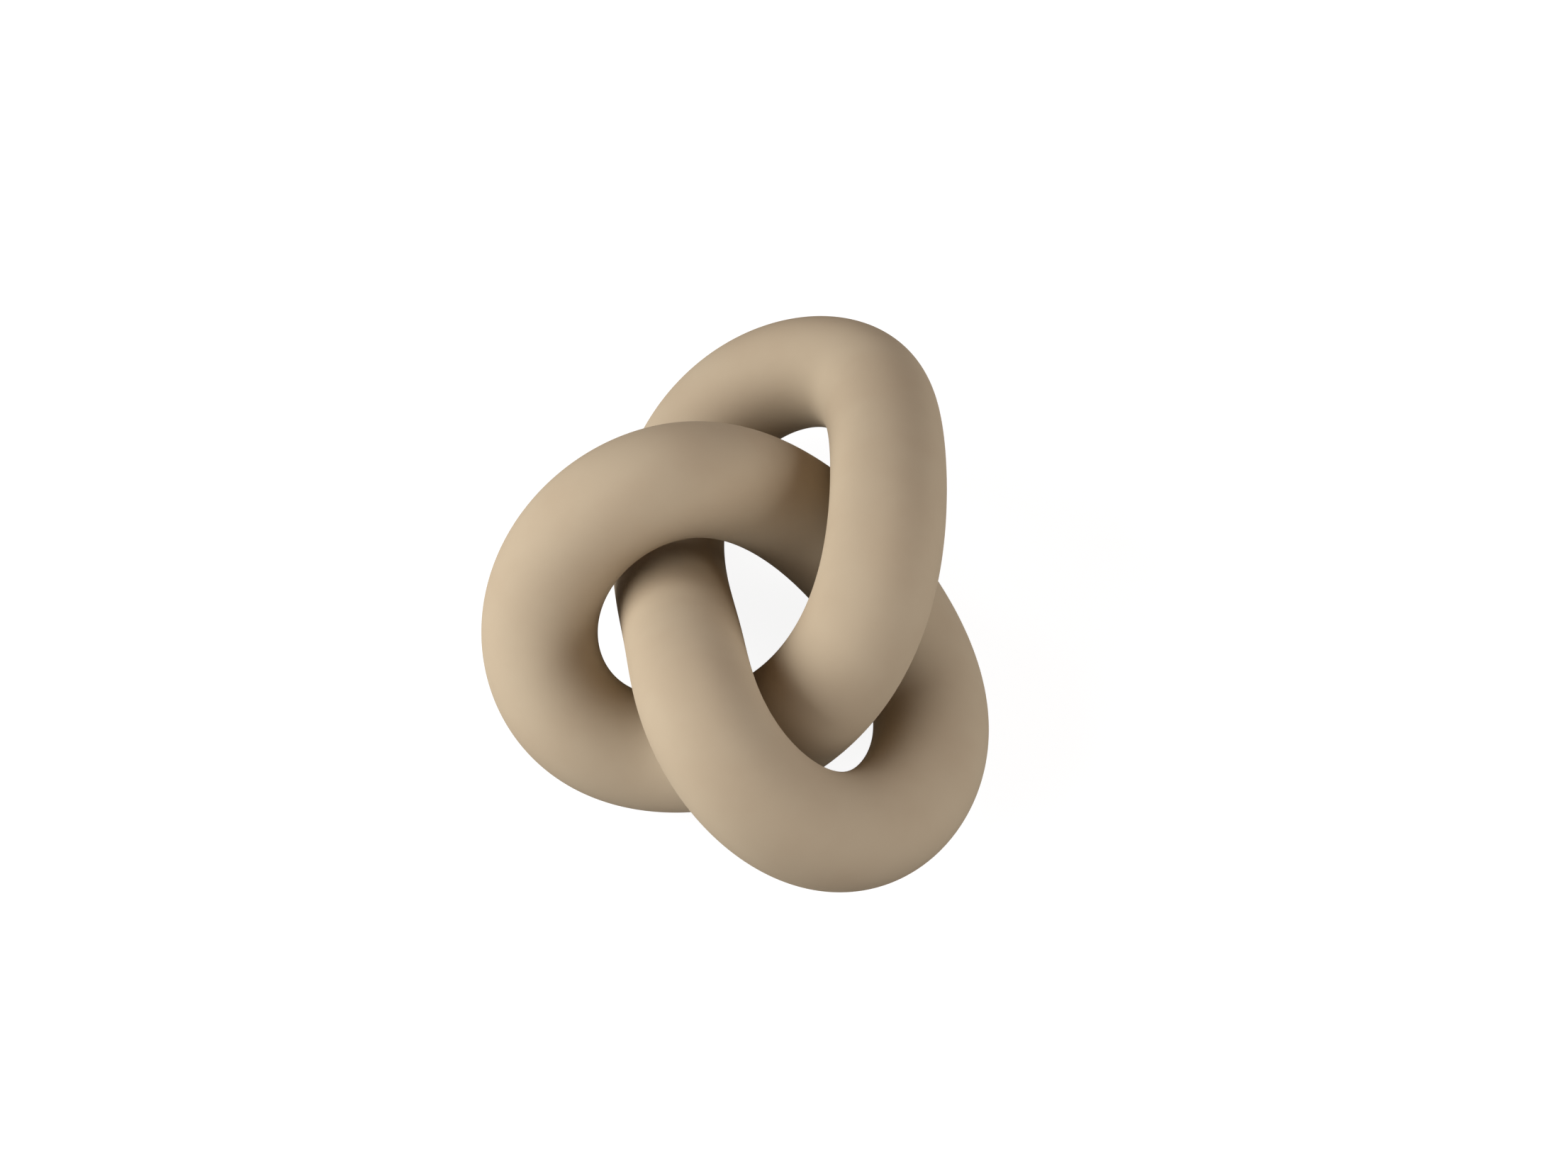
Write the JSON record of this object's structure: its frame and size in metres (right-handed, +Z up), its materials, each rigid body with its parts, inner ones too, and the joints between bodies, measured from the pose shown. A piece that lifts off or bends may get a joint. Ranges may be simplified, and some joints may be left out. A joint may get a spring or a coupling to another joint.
{
  "type": "knot sculpture",
  "caption": "Matte cast tube laid in a closed overhand knot with a long rear lobe, lying on felt pads as a table ornament.",
  "frame": {"origin": "on the table, under the middle of the knot's outline seen from above", "axes": "+Z up, +Y from the front lobe to the long rear lobe, +X to the right as the picture is seen"},
  "size_m": [0.1574, 0.2079, 0.0931],
  "materials": {
    "matte_stoneware": "smooth matte, sand coloured",
    "raw_stoneware": "raw, unseen",
    "felt": "pressed felt"
  },
  "bodies": {
    "root": {"rear_lobe": "matte_stoneware", "left_lobe": "matte_stoneware", "front_lobe": "matte_stoneware", "rear_left_sleeve": "raw_stoneware", "left_front_sleeve": "raw_stoneware", "front_rear_sleeve": "raw_stoneware", "rear_pad": "felt", "left_pad": "felt", "front_pad": "felt"}
  },
  "joints": []
}
